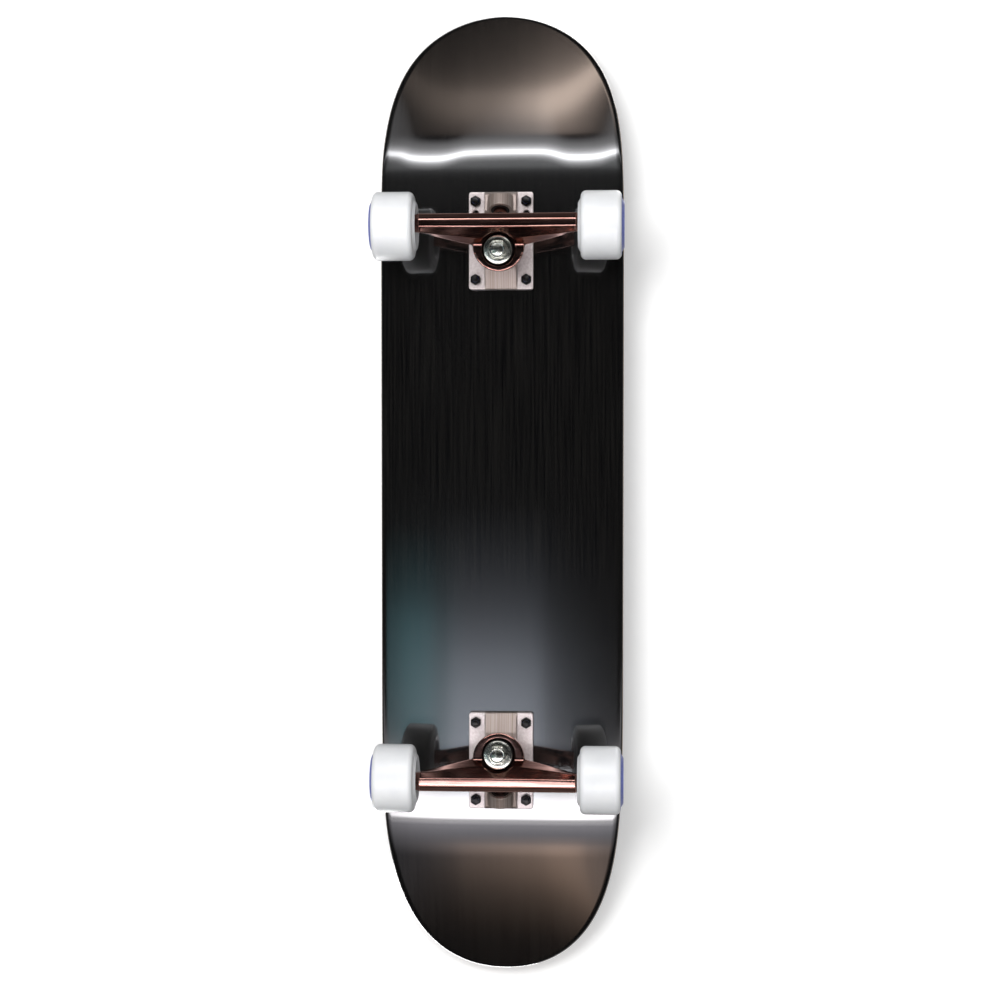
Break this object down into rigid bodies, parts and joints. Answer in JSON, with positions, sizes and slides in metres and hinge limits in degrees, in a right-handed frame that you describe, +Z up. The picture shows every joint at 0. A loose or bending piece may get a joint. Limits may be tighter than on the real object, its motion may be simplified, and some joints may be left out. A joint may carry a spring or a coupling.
{
  "type": "skateboard",
  "caption": "Double-kick street skateboard with a black lacquered deck, two copper-coloured steering trucks and four white wheels on ball bearings.",
  "frame": {"origin": "on the ground, under the middle of the board's length and width", "axes": "+X towards the nose, +Y to the board's left, +Z up"},
  "size_m": [0.805, 0.2006, 0.1392],
  "materials": {
    "black_lacquer": "gloss lacquer over black-stained maple",
    "maple": "satin",
    "grip": "matte grit",
    "urethane_white": "satin",
    "nylon": "satin",
    "black_oxide": "satin",
    "zinc": "bright zinc",
    "steel": "satin",
    "bearing_steel": "polished",
    "cage_nylon": "satin",
    "bushing_black": "satin",
    "cup_plastic": "satin",
    "copper_metal": "polished, copper-brown anodised",
    "cast_aluminium": "satin cast"
  },
  "bodies": {
    "board": {"deck_bottom_veneer": "black_lacquer", "deck_core_plies": "maple", "deck_top_veneer": "maple", "front_baseplate": "cast_aluminium", "front_kingpin": "zinc", "front_kingpin_nut": "zinc", "front_kingpin_nut_insert": "nylon", "front_lower_bushing": "bushing_black", "front_lower_cup_washer": "zinc", "front_pivot_cup": "cup_plastic", "front_upper_bushing": "bushing_black", "front_upper_cup_washer": "zinc", "grip_tape": "grip", "mounting_bolts": "black_oxide", "mounting_nut_inserts": "nylon", "mounting_nuts": "black_oxide", "rear_baseplate": "cast_aluminium", "rear_kingpin": "zinc", "rear_kingpin_nut": "zinc", "rear_kingpin_nut_insert": "nylon", "rear_lower_bushing": "bushing_black", "rear_lower_cup_washer": "zinc", "rear_pivot_cup": "cup_plastic", "rear_upper_bushing": "bushing_black", "rear_upper_cup_washer": "zinc"},
    "front_hanger": {"front_hanger": "copper_metal", "front_axle": "steel", "front_inner_races": "bearing_steel", "front_bearing_spacers": "zinc", "front_speed_washers": "zinc", "front_axle_nuts": "zinc", "front_axle_nut_inserts": "nylon"},
    "front_left_wheel": {"front_left_wheel": "urethane_white", "front_left_outer_races": "bearing_steel", "front_left_bearing_shields": "bearing_steel"},
    "front_left_bearing_set": {"front_left_bearing_balls": "bearing_steel", "front_left_bearing_cages": "cage_nylon"},
    "front_right_wheel": {"front_right_wheel": "urethane_white", "front_right_outer_races": "bearing_steel", "front_right_bearing_shields": "bearing_steel"},
    "front_right_bearing_set": {"front_right_bearing_balls": "bearing_steel", "front_right_bearing_cages": "cage_nylon"},
    "rear_hanger": {"rear_hanger": "copper_metal", "rear_axle": "steel", "rear_inner_races": "bearing_steel", "rear_bearing_spacers": "zinc", "rear_speed_washers": "zinc", "rear_axle_nuts": "zinc", "rear_axle_nut_inserts": "nylon"},
    "rear_left_wheel": {"rear_left_wheel": "urethane_white", "rear_left_outer_races": "bearing_steel", "rear_left_bearing_shields": "bearing_steel"},
    "rear_left_bearing_set": {"rear_left_bearing_balls": "bearing_steel", "rear_left_bearing_cages": "cage_nylon"},
    "rear_right_wheel": {"rear_right_wheel": "urethane_white", "rear_right_outer_races": "bearing_steel", "rear_right_bearing_shields": "bearing_steel"},
    "rear_right_bearing_set": {"rear_right_bearing_balls": "bearing_steel", "rear_right_bearing_cages": "cage_nylon"}
  },
  "joints": [
    {"name": "front_steer", "type": "hinge", "parent": "board", "child": "front_hanger", "pos_m": [0.19925, 0, 0.047], "axis": [0.8849, 0, 0.4657], "range_deg": [-15, 15], "stiffness_Nm_per_rad": 40, "deforming": ["front_upper_bushing", "front_lower_bushing"]},
    {"name": "front_left_spin", "type": "hinge", "parent": "front_hanger", "child": "front_left_wheel", "pos_m": [0.21595, 0.082, 0.027], "axis": [0, 1, 0], "continuous": true},
    {"name": "front_left_bearing_roll", "type": "hinge", "parent": "front_hanger", "child": "front_left_bearing_set", "pos_m": [0.21595, 0.082, 0.027], "axis": [0, 1, 0], "continuous": true},
    {"name": "front_right_spin", "type": "hinge", "parent": "front_hanger", "child": "front_right_wheel", "pos_m": [0.21595, -0.082, 0.027], "axis": [0, 1, 0], "continuous": true},
    {"name": "front_right_bearing_roll", "type": "hinge", "parent": "front_hanger", "child": "front_right_bearing_set", "pos_m": [0.21595, -0.082, 0.027], "axis": [0, 1, 0], "continuous": true},
    {"name": "rear_steer", "type": "hinge", "parent": "board", "child": "rear_hanger", "pos_m": [-0.20625, 0, 0.047], "axis": [-0.8849, 0, 0.4657], "range_deg": [-15, 15], "stiffness_Nm_per_rad": 40, "deforming": ["rear_upper_bushing", "rear_lower_bushing"]},
    {"name": "rear_left_spin", "type": "hinge", "parent": "rear_hanger", "child": "rear_left_wheel", "pos_m": [-0.22295, 0.082, 0.027], "axis": [0, 1, 0], "continuous": true},
    {"name": "rear_left_bearing_roll", "type": "hinge", "parent": "rear_hanger", "child": "rear_left_bearing_set", "pos_m": [-0.22295, 0.082, 0.027], "axis": [0, 1, 0], "continuous": true},
    {"name": "rear_right_spin", "type": "hinge", "parent": "rear_hanger", "child": "rear_right_wheel", "pos_m": [-0.22295, -0.082, 0.027], "axis": [0, 1, 0], "continuous": true},
    {"name": "rear_right_bearing_roll", "type": "hinge", "parent": "rear_hanger", "child": "rear_right_bearing_set", "pos_m": [-0.22295, -0.082, 0.027], "axis": [0, 1, 0], "continuous": true}
  ],
  "couplings": [
    {"joint": "front_left_bearing_roll", "follows": "front_left_spin", "ratio": 0.628},
    {"joint": "front_right_bearing_roll", "follows": "front_right_spin", "ratio": 0.628},
    {"joint": "rear_left_bearing_roll", "follows": "rear_left_spin", "ratio": 0.628},
    {"joint": "rear_right_bearing_roll", "follows": "rear_right_spin", "ratio": 0.628}
  ]
}
